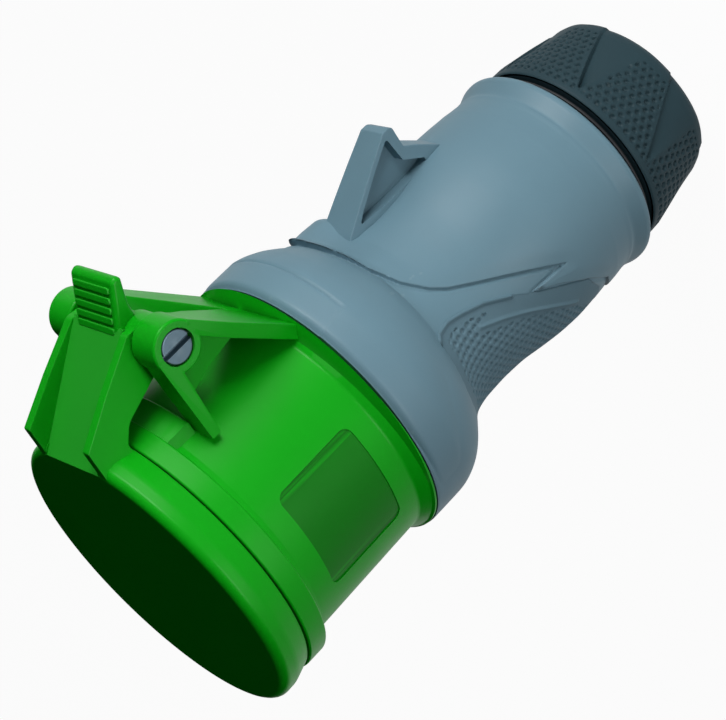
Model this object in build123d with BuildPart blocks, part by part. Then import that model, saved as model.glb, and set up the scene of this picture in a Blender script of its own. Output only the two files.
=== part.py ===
"""Five-pole pin and sleeve connector with a sprung lid, a grip housing and a screwed cable gland.

Millimetres. The long axis is Z: the gland nut's end face is at height 0 and the lid is on top.
+Y points to the lid's hinge, +X to the slotted head of the hinge screw.
"""
import math
import os
from build123d import *

os.makedirs("parts", exist_ok=True)

# ---- main sizes
MOUTH = 181.5            # height of the socket's front rim
LID_BASE = 182.0         # underside of the lid's rim
LID_TOP = 192.3
FLANGE_R, FLANGE_LOW = 41.8, 175.6
BODY_R_FRONT, BODY_R_REAR = 38.1, 37.2
BORE_R = 35.3            # bore that takes a plug's shroud
SHROUD_FLOOR = 138.0
FLOOR_LOW = 132.0
SKIRT_R, SKIRT_LOW, SKIRT_WALL = 38.4, 116.5, 3.4
SKIRT_BORE_R = SKIRT_R - SKIRT_WALL
REAR_FLANGE_R, REAR_FLANGE_TOP, REAR_FLANGE_LOW = SKIRT_R + 1.4, 131.9, 131.3
GROOVE_R, GROOVE_LOW, GROOVE_TOP = SKIRT_R - 1.5, 119.2, 122.4
GAP = 0.3                # between curved faces of different pieces
RUN = 0.05               # radial running clearance of a shaft
FACE = 0.1               # between flat faces of different pieces

# ---- hinge
HINGE_Y, HINGE_Z = 57.6, 162.3
EAR_OUT, EAR_IN = 23.7, 14.0
BOSS_R, BARREL_R, BARREL_HALF = 6.8, 6.0, 13.7
PIN_R, HEAD_R, HEAD_T = 2.5, 4.4, 2.0
HEAD_SINK = 2.4
SPRING_HALF, SPRING_POCKET_R, WIRE_R, COIL_R = 6.4, 5.0, 0.55, 3.9

# ---- contacts: clock angle seen from the front, keyway at six o'clock
PITCH_R = 17.5
POLES = {"sleeve_phase_1": 12.0, "sleeve_phase_2": 84.0, "sleeve_phase_3": 156.0,
         "sleeve_neutral": 228.0, "sleeve_earth": 300.0}
PIN_BORE_R = {"sleeve_earth": 4.05}
PHASE_BORE_R = 3.05
SLEEVE_WALL = 1.15
CARRIER_R, CARRIER_TOP, CARRIER_FLANGE_R = 29.6, 168.0, SKIRT_BORE_R - 0.4
CARRIER_FLANGE_LOW = 127.0
REAR_R, REAR_LOW, REAR_FLANGE_LOW_Z = 28.0, 107.0, 120.0
TERMINAL_TOP, TERMINAL_LOW, SCREW_Z = 118.0, 104.0, 111.5
FIXING_R, FIXING_ANGLES = SKIRT_BORE_R - 3.1, (48.0, 192.0)

# ---- grip housing
HOUSING_REAR = 32.4
HOUSING_FRONT = 131.0
COLLAR_R = SKIRT_R + 1.7  # thin edge in front of the skirt
HOUSING = [(COLLAR_R, HOUSING_FRONT), (COLLAR_R, 118.5), (COLLAR_R - 1.5, 113.9), (36.5, 110.7), (33.6, 107.6),
           (31.2, 104.8), (29.6, 101.5), (28.7, 96.5), (28.5, 88.0), (29.0, 80.0), (30.2, 73.5),
           (31.2, 67.0), (31.7, 60.0), (31.4, 53.0), (30.8, 46.5), (30.8, 43.2), (31.9, 40.6),
           (32.5, 36.5), (32.1, 34.0), (30.6, HOUSING_REAR)]
SPIGOT_R, SPIGOT_LOW, SPIGOT_BORE_R = 23.4, 13.0, 18.5
# the collar swells towards the hinge: its own centre lies off the axis
SWELL_SHIFT = 2.34
SWELL_R = SKIRT_R + 2.75
SWELL = [(SWELL_R - 1.85, 130.9), (SWELL_R - 0.25, 129.9), (SWELL_R, 128.6), (SWELL_R, 118.4),
         (SWELL_R - 1.45, 114.8), (37.5, 111.6), (34.7, 108.4)]

# ---- gland
NUT_TOP, NUT_BORE_R = 28.8, 24.3
CABLE_R = 14.5           # opening of the gland nut
SLEEVE_RUBBER_R = 9.0    # hole of the rubber sleeve


def turned(points, mode=Mode.ADD):
    """Body turned about Z from (radius, height) points."""
    with BuildSketch(Plane.XZ) as profile:
        with BuildLine():
            Polyline(*points, close=True)
        make_face()
    revolve(profile.sketch, axis=Axis.Z, mode=mode)


def side_plate(points, x0, x1, mode=Mode.ADD):
    """Plate from (y, z) points, reaching from x0 to x1."""
    with BuildSketch(Plane.YZ.offset(x0)) as profile:
        with BuildLine():
            Polyline(*points, close=True)
        make_face()
    extrude(profile.sketch, amount=x1 - x0, mode=mode)


def x_rod(radius, x0, x1, y=HINGE_Y, z=HINGE_Z, mode=Mode.ADD):
    """Rod or hole along X."""
    with BuildSketch(Plane.YZ.offset(x0)) as profile:
        with Locations((y, z)):
            Circle(radius)
    extrude(profile.sketch, amount=x1 - x0, mode=mode)


def z_rod(radius, z0, z1, x=0.0, y=0.0, mode=Mode.ADD):
    """Rod or hole along Z."""
    with Locations((x, y, z0)):
        Cylinder(radius, z1 - z0, align=(Align.CENTER, Align.CENTER, Align.MIN), mode=mode)


def block(x0, x1, y0, y1, z0, z1, mode=Mode.ADD):
    """Box between two corners."""
    with Locations(((x0 + x1) / 2, (y0 + y1) / 2, (z0 + z1) / 2)):
        Box(x1 - x0, y1 - y0, z1 - z0, mode=mode)


def radial_rod(radius, clock, z, r0, r1, mode=Mode.ADD):
    """Rod or hole along the radius at a clock angle."""
    a = math.radians(90 - clock)
    out = Vector(math.cos(a), math.sin(a), 0)
    plane = Plane(origin=out * r0 + Vector(0, 0, z), z_dir=out)
    with BuildSketch(plane) as profile:
        Circle(radius)
    extrude(profile.sketch, amount=r1 - r0, mode=mode)


def at_clock(radius, clock):
    """X and Y of a point at a radius and a clock angle from +Y."""
    a = math.radians(90 - clock)
    return radius * math.cos(a), radius * math.sin(a)


def hand_in(piece, name):
    """Names the piece and writes its file."""
    piece.part.label = name
    export_step(piece.part, "parts/" + name + ".step")


# ---- shallow recess for a label
with BuildPart() as label_recess:
    side_plate([(-15.6, 141.4), (15.6, 141.4), (15.6, 167.2), (-15.6, 167.2)], 25.0, 42.0)
    turned([(0, 180.0), (BODY_R_FRONT - 0.35, 180.0), (BODY_R_REAR - 0.4, 130.0), (0, 130.0)], mode=Mode.SUBTRACT)

# ---- socket shell with the hinge bracket
with BuildPart() as socket_shell:
    turned([(0, MOUTH), (FLANGE_R, MOUTH), (FLANGE_R, FLANGE_LOW), (38.9, FLANGE_LOW), (BODY_R_FRONT, 174.4),
            (BODY_R_REAR, 135.2), (REAR_FLANGE_R - 0.6, 132.4), (REAR_FLANGE_R, REAR_FLANGE_TOP),
            (REAR_FLANGE_R, REAR_FLANGE_LOW), (SKIRT_R, REAR_FLANGE_LOW), (SKIRT_R, GROOVE_TOP), (GROOVE_R, GROOVE_TOP),
            (GROOVE_R, GROOVE_LOW), (SKIRT_R, GROOVE_LOW), (SKIRT_R, SKIRT_LOW), (0, SKIRT_LOW)])
    # thickened flange between the ears, keyway ridge opposite
    with BuildSketch(Plane.XY.offset(168.3)) as pad_outline:
        Circle(FLANGE_R - 0.6)
        with Locations((0, 50)):
            Rectangle(35.2, 36.0, mode=Mode.INTERSECT)
    extrude(pad_outline.sketch, amount=FLANGE_LOW - 168.3)
    block(-5.5, 5.5, -39.6, -30.0, REAR_FLANGE_TOP, FLANGE_LOW)
    # sloped plate, braces and ears of the hinge bracket
    side_plate([(62.4, 158.6), (60.4, 155.6), (38.4, 133.6), (33.0, 133.6), (33.0, 136.4), (35.6, 136.4), (55.0, 156.0)],
               -EAR_OUT, EAR_OUT)
    for side in (-1, 1):
        x0, x1 = sorted((side * EAR_IN, side * EAR_OUT))
        x_rod(BOSS_R, x0, x1)
        w0, w1 = sorted((side * 16.0, side * EAR_OUT))
        side_plate([(58.0, 168.6), (32.6, 167.9), (32.6, 164.8), (54.0, 164.8), (57.0, 159.0)], w0, w1)
        v0, v1 = sorted((side * 16.6, side * 19.6))
        side_plate([(58.0, 164.0), (56.0, 155.0), (36.0, 135.5), (35.5, 140.0), (45.9, 145.8), (44.6, 157.0),
                    (41.6, 165.2)], v0, v1)
    # slot between the arms
    with BuildSketch(Plane.XZ.offset(-36.0)) as slot:
        with BuildLine():
            Polyline((-EAR_IN, 172), (-EAR_IN, 156.2), (-10.2, 152.0), (-5.0, 144.0), (0, 137.6), (5.0, 144.0),
                     (10.2, 152.0), (EAR_IN, 156.2), (EAR_IN, 172), close=True)
        make_face()
    extrude(slot.sketch, amount=-40.0, mode=Mode.SUBTRACT)
    # shroud space, carrier seat and rear room
    turned([(0, MOUTH + 1), (BORE_R + 1.1, MOUTH + 1), (BORE_R + 1.1, MOUTH), (BORE_R, MOUTH - 1.1),
            (BORE_R, SHROUD_FLOOR), (CARRIER_R + GAP, SHROUD_FLOOR), (CARRIER_R + GAP, FLOOR_LOW),
            (SKIRT_BORE_R, FLOOR_LOW), (SKIRT_BORE_R, SKIRT_LOW - 1), (0, SKIRT_LOW - 1)], mode=Mode.SUBTRACT)
    # keyway at six o'clock
    block(-3.6, 3.6, -37.4, -30.5, SHROUD_FLOOR, MOUTH + 1, mode=Mode.SUBTRACT)
    add(label_recess.part, mode=Mode.SUBTRACT)
    # hinge bores: through the near ear, blind in the far ear
    x_rod(PIN_R + RUN, -EAR_OUT + 2.6, EAR_OUT + 1, mode=Mode.SUBTRACT)
    x_rod(HEAD_R + GAP, EAR_OUT - HEAD_SINK, EAR_OUT + 1, mode=Mode.SUBTRACT)
    # pilot holes of the carrier screws
    for clock in FIXING_ANGLES:
        x, y = at_clock(FIXING_R, clock)
        z_rod(1.55, FLOOR_LOW - 1, FLOOR_LOW + 4.6, x, y, mode=Mode.SUBTRACT)

hand_in(socket_shell, "socket_shell")

# ---- lid with its lever, thumb tab and hinge barrel
FLOOR_A, FLOOR_B = Vector(0, 40.5, LID_TOP + 0.05), Vector(0, 63.0, 167.4)
TAB_A, TAB_B = Vector(0, 62.4, 167.9), Vector(0, 75.6, 161.2)
TAB_HALF, RIBS = 9.4, 5
with BuildPart() as channel:
    side_plate([(FLOOR_A.Y, FLOOR_A.Z), (FLOOR_B.Y, FLOOR_B.Z), (72.0, 176.0), (52.0, 202.0)], -20.0, 20.0)
    with BuildSketch(Plane.XZ.offset(-30.0)) as channel_front:
        with BuildLine():
            Polyline((-11.4, 203), (-11.1, LID_TOP), (-9.6, 166), (9.6, 166), (11.1, LID_TOP), (11.4, 203), close=True)
        make_face()
    extrude(channel_front.sketch, amount=-50.0, mode=Mode.INTERSECT)

with BuildPart() as lever:
    side_plate([(38.0, 191.8), (48.5, 192.2), (62.9, 167.2), (62.6, 163.0), (57.6, 158.0), (51.8, 162.0),
                (50.2, 168.0), (46.3, 179.4), (42.4, 182.6), (38.0, 182.8)], -15.0, 15.0)
    with BuildSketch(Plane.XZ.offset(-30.0)) as lever_front:
        with BuildLine():
            Polyline((-15.0, 193), (-BARREL_HALF, 179), (-BARREL_HALF, 150), (BARREL_HALF, 150), (BARREL_HALF, 179),
                     (15.0, 193), close=True)
        make_face()
    extrude(lever_front.sketch, amount=-50.0, mode=Mode.INTERSECT)
    add(channel.part, mode=Mode.SUBTRACT)
    # hollow underside
    side_plate([(45.6, 182.8), (57.2, 170.0), (50.0, 168.0), (40.0, 178.0)], -10.6, 10.6, mode=Mode.SUBTRACT)
    # thumb tab
    side_plate([(60.5, 168.6), (TAB_B.Y, TAB_B.Z), (76.4, 160.0), (74.8, 157.6), (73.2, 157.8), (60.5, 160.6)],
               -TAB_HALF, TAB_HALF)
    run = (TAB_B - TAB_A).normalized()
    rise = Vector(0, -run.Z, run.Y)
    for i in range(RIBS):
        foot = TAB_A + (TAB_B - TAB_A) * ((i + 0.7) / RIBS)
        corners = [foot - run * 0.8 - rise * 0.4, foot - run * 0.5 + rise * 0.7,
                   foot + run * 0.5 + rise * 0.7, foot + run * 0.8 - rise * 0.4]
        side_plate([(c.Y, c.Z) for c in corners], 1.2 - TAB_HALF, TAB_HALF - 1.2)
    # barrel with the spring's pocket and the pin bore
    x_rod(BARREL_R, -BARREL_HALF, BARREL_HALF)
    x_rod(SPRING_POCKET_R, -SPRING_HALF, SPRING_HALF, mode=Mode.SUBTRACT)
    block(-SPRING_HALF, SPRING_HALF, 50.0, HINGE_Y, 150.0, HINGE_Z, mode=Mode.SUBTRACT)
    x_rod(PIN_R + RUN, -EAR_OUT, EAR_OUT, mode=Mode.SUBTRACT)

with BuildPart() as lid:
    turned([(0, LID_TOP), (40.6, LID_TOP), (42.8, 191.8), (44.0, 190.4), (44.2, 188.9), (43.9, 187.4),
            (42.2, LID_BASE), (0, LID_BASE)])
    add(lever.part)
    turned([(0, 189.2), (33.0, 189.2), (33.0, LID_BASE - 1), (0, LID_BASE - 1)], mode=Mode.SUBTRACT)
    turned([(34.4, 184.2), (40.0, 184.2), (40.0, LID_BASE - 1), (34.4, LID_BASE - 1)], mode=Mode.SUBTRACT)
hand_in(lid, "lid")

with BuildPart() as lid_seal:
    turned([(34.7, 184.2 - FACE), (39.7, 184.2 - FACE), (39.7, MOUTH + FACE), (34.7, MOUTH + FACE)])
hand_in(lid_seal, "lid_seal")

# ---- hinge screw and lid spring
with BuildPart() as hinge_screw:
    x_rod(PIN_R, 3.0 - EAR_OUT, EAR_OUT - HEAD_SINK + FACE)
    x_rod(HEAD_R, EAR_OUT - HEAD_SINK + FACE, EAR_OUT - HEAD_SINK + FACE + HEAD_T)
    tilt = math.radians(91)
    along, across = (math.cos(tilt) * 6, math.sin(tilt) * 6), (-math.sin(tilt) * 0.6, math.cos(tilt) * 0.6)
    side_plate([(HINGE_Y + a * along[0] + b * across[0], HINGE_Z + a * along[1] + b * across[1])
                for a, b in ((-1, -1), (1, -1), (1, 1), (-1, 1))], EAR_OUT - 1.5, EAR_OUT + 2, mode=Mode.SUBTRACT)
hand_in(hinge_screw, "hinge_screw")

with BuildPart() as lid_spring:
    with BuildLine() as coil:
        Helix(pitch=1.9, height=11.4, radius=COIL_R, center=(-5.7, HINGE_Y, HINGE_Z), direction=(1, 0, 0))
    with BuildSketch(Plane(origin=coil.line @ 0, z_dir=coil.line % 0)) as wire:
        Circle(WIRE_R)
    sweep(sections=wire.sketch, path=coil.line, is_frenet=True)
hand_in(lid_spring, "lid_spring")

# ---- contacts
for name, clock in POLES.items():
    x, y = at_clock(PITCH_R, clock)
    pin_bore = PIN_BORE_R.get(name, PHASE_BORE_R)
    tube = pin_bore + SLEEVE_WALL
    wire_bore = tube - 1.6
    with BuildPart() as contact:
        z_rod(tube, TERMINAL_TOP, CARRIER_TOP - FACE, x, y)
        z_rod(tube + 1.2, 123.5, 126.8, x, y)
        z_rod(tube + 0.6, TERMINAL_LOW, TERMINAL_TOP, x, y)
        z_rod(pin_bore, 122.0, CARRIER_TOP + 1, x, y, mode=Mode.SUBTRACT)
        z_rod(wire_bore, TERMINAL_LOW - 1, TERMINAL_TOP - 1.5, x, y, mode=Mode.SUBTRACT)
        z_rod(tube + 1, 160.0, 161.6, x, y, mode=Mode.SUBTRACT)
        z_rod(tube - 0.5, 159.9, 161.7, x, y)
        z_rod(pin_bore, 158.0, 163.0, x, y, mode=Mode.SUBTRACT)
        radial_rod(1.9 + RUN, clock, SCREW_Z, PITCH_R, PITCH_R + tube + 2, mode=Mode.SUBTRACT)
    hand_in(contact, name)

with BuildPart() as sleeve_rings:
    for name, clock in POLES.items():
        x, y = at_clock(PITCH_R, clock)
        tube = PIN_BORE_R.get(name, PHASE_BORE_R) + SLEEVE_WALL
        z_rod(tube - 0.03, 160.1, 161.5, x, y)
        z_rod(tube - 0.45, 160.0, 161.6, x, y, mode=Mode.SUBTRACT)
hand_in(sleeve_rings, "sleeve_rings")

with BuildPart() as terminal_screws:
    for name, clock in POLES.items():
        tube = PIN_BORE_R.get(name, PHASE_BORE_R) + SLEEVE_WALL
        seat = PITCH_R + tube + 0.6
        radial_rod(1.9, clock, SCREW_Z, seat - 2.0, seat + FACE)
        radial_rod(2.6, clock, SCREW_Z, seat + FACE, seat + 2.4)
hand_in(terminal_screws, "terminal_screws")

# ---- contact carrier and terminal block
with BuildPart() as contact_carrier:
    turned([(0, CARRIER_TOP), (CARRIER_R - 0.8, CARRIER_TOP), (CARRIER_R, CARRIER_TOP - 0.8),
            (CARRIER_R, FLOOR_LOW), (0, FLOOR_LOW)])
    for name, clock in POLES.items():
        x, y = at_clock(PITCH_R, clock)
        pin_bore = PIN_BORE_R.get(name, PHASE_BORE_R)
        z_rod(pin_bore + SLEEVE_WALL + GAP, FLOOR_LOW - 1, CARRIER_TOP + 1, x, y, mode=Mode.SUBTRACT)
hand_in(contact_carrier, "contact_carrier")

with BuildPart() as carrier_plate:
    turned([(0, FLOOR_LOW - FACE), (CARRIER_FLANGE_R, FLOOR_LOW - FACE), (CARRIER_FLANGE_R, CARRIER_FLANGE_LOW),
            (0, CARRIER_FLANGE_LOW)])
    for name, clock in POLES.items():
        x, y = at_clock(PITCH_R, clock)
        z_rod(PIN_BORE_R.get(name, PHASE_BORE_R) + SLEEVE_WALL + GAP, CARRIER_FLANGE_LOW - 1, FLOOR_LOW, x, y,
              mode=Mode.SUBTRACT)
    for clock in FIXING_ANGLES:
        x, y = at_clock(FIXING_R, clock)
        z_rod(1.8, CARRIER_FLANGE_LOW - 1, FLOOR_LOW, x, y, mode=Mode.SUBTRACT)
hand_in(carrier_plate, "carrier_plate")

with BuildPart() as terminal_block:
    turned([(0, CARRIER_FLANGE_LOW - FACE), (CARRIER_FLANGE_R, CARRIER_FLANGE_LOW - FACE),
            (CARRIER_FLANGE_R, REAR_FLANGE_LOW_Z), (REAR_R, REAR_FLANGE_LOW_Z), (REAR_R, REAR_LOW), (0, REAR_LOW)])
    for name, clock in POLES.items():
        x, y = at_clock(PITCH_R, clock)
        tube = PIN_BORE_R.get(name, PHASE_BORE_R) + SLEEVE_WALL
        z_rod(tube + 0.6 + GAP, REAR_LOW - 1, CARRIER_FLANGE_LOW + 1, x, y, mode=Mode.SUBTRACT)
        z_rod(tube + 1.2 + GAP, 123.4, CARRIER_FLANGE_LOW + 1, x, y, mode=Mode.SUBTRACT)
        radial_rod(2.6 + GAP, clock, SCREW_Z, PITCH_R + 3, CARRIER_FLANGE_R, mode=Mode.SUBTRACT)
    for clock in FIXING_ANGLES:
        x, y = at_clock(FIXING_R, clock)
        z_rod(1.8, REAR_FLANGE_LOW_Z - 1, CARRIER_FLANGE_LOW, x, y, mode=Mode.SUBTRACT)
hand_in(terminal_block, "terminal_block")

with BuildPart() as carrier_screws:
    for clock in FIXING_ANGLES:
        x, y = at_clock(FIXING_R, clock)
        z_rod(1.5, REAR_FLANGE_LOW_Z - FACE, FLOOR_LOW + 4.0, x, y)
        z_rod(2.6, REAR_FLANGE_LOW_Z - FACE - 2.0, REAR_FLANGE_LOW_Z - FACE, x, y)
hand_in(carrier_screws, "carrier_screws")

# ---- grip housing with the hanging hook and the threaded spigot
PAD_DEPTH = 1.4
PAD = [(17.0, 102.3), (15.0, 97.5), (11.5, 90.5), (6.5, 82.0), (1.0, 73.5), (-3.5, 66.0), (-6.0, 57.0),
       (-25.0, 55.5), (-25.0, 103.0), (0.0, 103.6)]
PAD_RECESS = [(17.5, 102.8), (15.6, 97.4), (12.0, 90.2), (7.0, 81.7), (1.5, 73.2), (-3.1, 65.7), (-5.6, 56.6),
              (-25.4, 55.1), (-25.4, 103.4), (0.2, 104.0)]


def grip_layer(depth_out, depth_in):
    """Closed profile that follows the grip between two depths under its surface."""
    rows = [p for p in HOUSING if 46 < p[1] < 108]
    return [(r - depth_out, z) for r, z in rows] + [(r - depth_in, z) for r, z in reversed(rows)]


with BuildPart() as pad_recess_near:
    turned(grip_layer(-0.5, PAD_DEPTH + FACE))
    side_plate(PAD_RECESS, 8.0, 45.0, mode=Mode.INTERSECT)

with BuildPart() as pad_near:
    turned(grip_layer(0.0, PAD_DEPTH))
    side_plate(PAD, 8.0, 45.0, mode=Mode.INTERSECT)
hand_in(pad_near, "grip_pad_near")

with BuildPart() as pad_far:
    add(mirror(pad_near.part, about=Plane.YZ))
hand_in(pad_far, "grip_pad_far")

with BuildPart() as hook:
    side_plate([(36.0, 106.4), (36.0, 98.5), (41.2, 84.0), (46.4, 75.0), (46.8, 73.0), (46.2, 71.0),
                (40.0, 70.4), (37.0, 66.4), (31.2, 57.0), (28.8, 57.0), (28.8, 67.5), (26.7, 77.0), (26.7, 102.0),
                (33.0, 107.6)], -8.5, 0.5)
    side_plate([(34.2, 90.6), (44.4, 74.4), (37.8, 72.6), (33.4, 67.0), (32.6, 69.0), (32.0, 80.0)], -3.4, 1.0,
               mode=Mode.SUBTRACT)

with BuildPart() as collar_swell:
    turned(SWELL + [(33.0, 109.6), (SKIRT_R - 2.8, 113.0), (SKIRT_R - 1.4, 117.0), (SKIRT_R - 1.4, 130.9)])

with BuildPart() as grip_housing:
    turned(HOUSING + [
        (SPIGOT_BORE_R, HOUSING_REAR), (SPIGOT_BORE_R, 36.0),
        (15.5, 36.0), (15.5, 40.0), (21.0, 45.0), (27.0, 51.5), (28.2, 58.0), (28.2, 66.0), (27.0, 73.5),
        (25.8, 80.0), (25.2, 88.0), (25.6, 99.0), (26.6, 103.5), (30.2, 107.5), (33.5, 112.0), (SKIRT_R - 3.0, 116.2),
        (SKIRT_R - 1.0, 116.2), (SKIRT_R - 1.0, HOUSING_FRONT)])
    add(collar_swell.part.moved(Location((0, SWELL_SHIFT, 0))))
    turned([(0, 116.2), (SKIRT_R + GAP, 116.2), (SKIRT_R + GAP, HOUSING_FRONT + 2), (0, HOUSING_FRONT + 2)],
           mode=Mode.SUBTRACT)
    add(hook.part)
    add(pad_recess_near.part, mode=Mode.SUBTRACT)
    add(mirror(pad_recess_near.part, about=Plane.YZ), mode=Mode.SUBTRACT)
hand_in(grip_housing, "grip_housing")

with BuildPart() as housing_seal:
    turned([(GROOVE_R + GAP, GROOVE_LOW + FACE), (SKIRT_R, GROOVE_LOW + FACE), (SKIRT_R, GROOVE_TOP - FACE),
            (GROOVE_R + GAP, GROOVE_TOP - FACE)])
hand_in(housing_seal, "housing_seal")

# ---- cable gland
with BuildPart() as gland_spigot:
    turned([(SPIGOT_BORE_R, SPIGOT_LOW), (SPIGOT_R, SPIGOT_LOW), (SPIGOT_R, HOUSING_REAR - FACE),
            (SPIGOT_BORE_R, HOUSING_REAR - FACE)])
hand_in(gland_spigot, "gland_spigot")

with BuildPart() as gland_seal:
    turned([(SPIGOT_R + GAP, NUT_TOP + 0.4), (29.2, NUT_TOP + 0.4), (29.5, HOUSING_REAR - 0.6),
            (29.2, HOUSING_REAR - FACE), (SPIGOT_R + GAP, HOUSING_REAR - FACE)])
hand_in(gland_seal, "gland_seal")

with BuildPart() as cable_sleeve:
    turned([(SLEEVE_RUBBER_R, SPIGOT_LOW + FACE), (SPIGOT_BORE_R - GAP, SPIGOT_LOW + FACE),
            (SPIGOT_BORE_R - GAP, 35.9), (SLEEVE_RUBBER_R + 3, 35.9), (SLEEVE_RUBBER_R, 32.0)])
hand_in(cable_sleeve, "cable_sleeve")

with BuildPart() as clamp_cage:
    turned([(15.2, 7.1), (20.4, 7.1), (21.6, 8.6), (21.6, SPIGOT_LOW - FACE), (15.2, SPIGOT_LOW - FACE)])
    for i in range(8):
        with Locations(Location((0, 0, 0), (0, 0, 22.5 + i * 45))):
            with Locations((18.5, 0, 7.0)):
                Box(8.0, 1.2, 3.6, align=(Align.CENTER, Align.CENTER, Align.MIN), mode=Mode.SUBTRACT)
hand_in(clamp_cage, "clamp_cage")

with BuildPart() as pressure_ring:
    turned([(15.2, 4.0 + FACE), (21.6, 4.0 + FACE), (21.6, 6.9), (15.2, 6.9)])
hand_in(pressure_ring, "pressure_ring")

with BuildPart() as nut_end:
    turned([(CABLE_R, 0), (22.0, 0), (24.4, 0.6), (26.1, 2.1), (26.8, 4.0), (CABLE_R, 4.0)])
hand_in(nut_end, "nut_end")

with BuildPart() as gland_nut:
    turned([(26.8, 4.0), (27.0, 4.6), (27.7, 9.5), (28.9, 16.7), (30.1, 24.0), (30.2, 27.2), (29.4, NUT_TOP),
            (NUT_BORE_R, NUT_TOP), (NUT_BORE_R, 4.0)])
hand_in(gland_nut, "gland_nut")
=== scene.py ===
"""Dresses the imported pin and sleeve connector: mouldings, grip inlays, metal parts, light and camera.

Sizes inside the makers are millimetres in the row frame; every mesh is scaled to metres when it is made.
"""
import math

import bmesh
import bpy
import numpy as np
from bpy.props import FloatProperty, FloatVectorProperty, IntProperty, PointerProperty
from mathutils import Matrix, Vector


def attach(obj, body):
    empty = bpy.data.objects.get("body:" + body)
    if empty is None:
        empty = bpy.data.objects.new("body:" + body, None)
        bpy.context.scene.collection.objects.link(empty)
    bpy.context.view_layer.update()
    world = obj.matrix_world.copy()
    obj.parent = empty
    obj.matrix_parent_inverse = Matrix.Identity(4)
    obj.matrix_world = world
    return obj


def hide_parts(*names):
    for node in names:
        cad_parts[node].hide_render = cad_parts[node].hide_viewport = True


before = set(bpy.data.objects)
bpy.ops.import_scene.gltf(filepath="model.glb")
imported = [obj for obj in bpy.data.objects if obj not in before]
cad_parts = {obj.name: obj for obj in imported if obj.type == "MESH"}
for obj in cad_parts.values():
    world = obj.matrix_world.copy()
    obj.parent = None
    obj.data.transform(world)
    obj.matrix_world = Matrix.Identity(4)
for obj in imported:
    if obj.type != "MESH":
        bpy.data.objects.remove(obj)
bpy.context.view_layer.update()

bl_info = {
    "name": "Pin and sleeve connector",
    "version": (1, 0, 0),
    "blender": (4, 5, 0),
    "location": "View3D > Sidebar > Connector",
    "description": "Builds the visible pieces of a cable connector with a sprung lid over its packed frame",
    "category": "Object",
}

MM = 0.001
HINGE = Vector((0.0, 57.6, 162.3))
# node, clock angle and radius of the bore of each contact sleeve
POLES = (("sleeve_phase_1", 12.0, 3.05), ("sleeve_phase_2", 84.0, 3.05), ("sleeve_phase_3", 156.0, 3.05),
         ("sleeve_neutral", 228.0, 3.05), ("sleeve_earth", 300.0, 4.05))
# radius and height of the grip, without the swell of its collar
GRIP_LINE = [(39.9, 131.0), (40.1, 130.7), (40.1, 118.5), (38.6, 113.9), (36.5, 110.7), (33.6, 107.6),
             (31.2, 104.8), (29.6, 101.5), (28.7, 96.5), (28.5, 88.0), (29.0, 80.0), (30.2, 73.5),
             (31.2, 67.0), (31.7, 60.0), (31.4, 53.0), (30.9, 46.5), (31.0, 42.4), (31.15, 39.8),
             (30.95, 39.1), (31.1, 38.4), (32.45, 34.8), (32.5, 33.7), (32.1, 33.0), (31.2, 32.5)]
# the collar swells towards the hinge, so its own centre lies off the axis by this much
SWELL_SHIFT = 2.34
# clock angles in a whole ring of the grip
ROUND = 480
# radius round its own centre and height of the collar
SWELL_LINE = [(39.0, 131.0), (40.7, 130.4), (41.15, 129.4), (41.1, 121.5), (40.3, 118.4), (38.7, 114.8),
              (36.6, 111.6), (34.2, 108.4), (30.5, 105.0), (20.0, 100.0), (10.0, 60.0), (5.0, 32.4)]
# radii at which clock angles on the grip and on the inlays are turned into millimetres
GRIP_R, INLAY_R = 31.0, 30.0
# beside the far foot of the hook the raised shell fills out to this radius
FOOT_CLOCK, FOOT_R = -25.0, 35.2
# outer faces of the ears of the hinge
EAR_OUTER = 23.7
POLE_CIRCLE = 17.5
NUT_TOP, NUT_R = 28.8, 28.8  # the radius is a mean, for spacing the pits
# pitches of the pits in the nut, round it and along it
NUT_PITCH = (2.6, 2.3)
# place and axes of the camera, fitted to the outlines in the photograph
CAMERA_PLACE = (0.460156, 0.320413, 0.330064)
CAMERA_AXES = ((0.61504, -0.18639, 0.76615, 0), (-0.44208, 0.72306, 0.5308, 0),
               (-0.65291, -0.66516, 0.36231, 0), (0, 0, 0, 1))
# boundary of the raised upper shell, clock angle and height
SHELL_EDGE = [(0, 106.5), (8, 106.3), (20, 105.2), (39, 101.7), (51, 97.3), (57.6, 93.6), (66.2, 86.4),
              (76.7, 77.0), (90.6, 64.0), (91.3, 75.3), (97.5, 68.2), (109, 59.0), (124, 51.0), (150, 46.5),
              (180, 45.0)]
# outline of an inlay, its raised ridges and its dimpled field, clock angle and height
INLAY = [(71, 107.0), (68.0, 104.3), (68.0, 99.9), (70.5, 95.0), (75.2, 88.4), (83.5, 80.7), (93.0, 74.2),
         (99.5, 67.6), (110, 58.6), (126, 53.5), (148, 53.0), (160, 62.0), (164, 80.0), (158, 99.0),
         (140, 107.0), (100, 109.0)]
INLAY_RIDGES = ([(73, 107.6), (69.6, 104.6), (69.4, 100.0), (71.8, 95.2), (76.4, 88.6), (84.5, 81.2)],
                [(85.0, 92.9), (92.5, 85.0), (101, 77.3), (110.5, 69.6), (118.0, 64.0)])
DIMPLE_FIELD = [(74.5, 104.5), (72.5, 100.5), (74.5, 95.5), (79.0, 89.8), (81.5, 88.0), (84.0, 89.5),
                (84.5, 94.0), (87.0, 93.5), (96.0, 83.5), (104, 76.0), (113.0, 68.5), (122, 62.0),
                (136, 56.5), (147, 56.5), (156, 64.0), (160, 80.0), (154, 97.0), (139, 104.5), (100, 106.5)]


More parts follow.
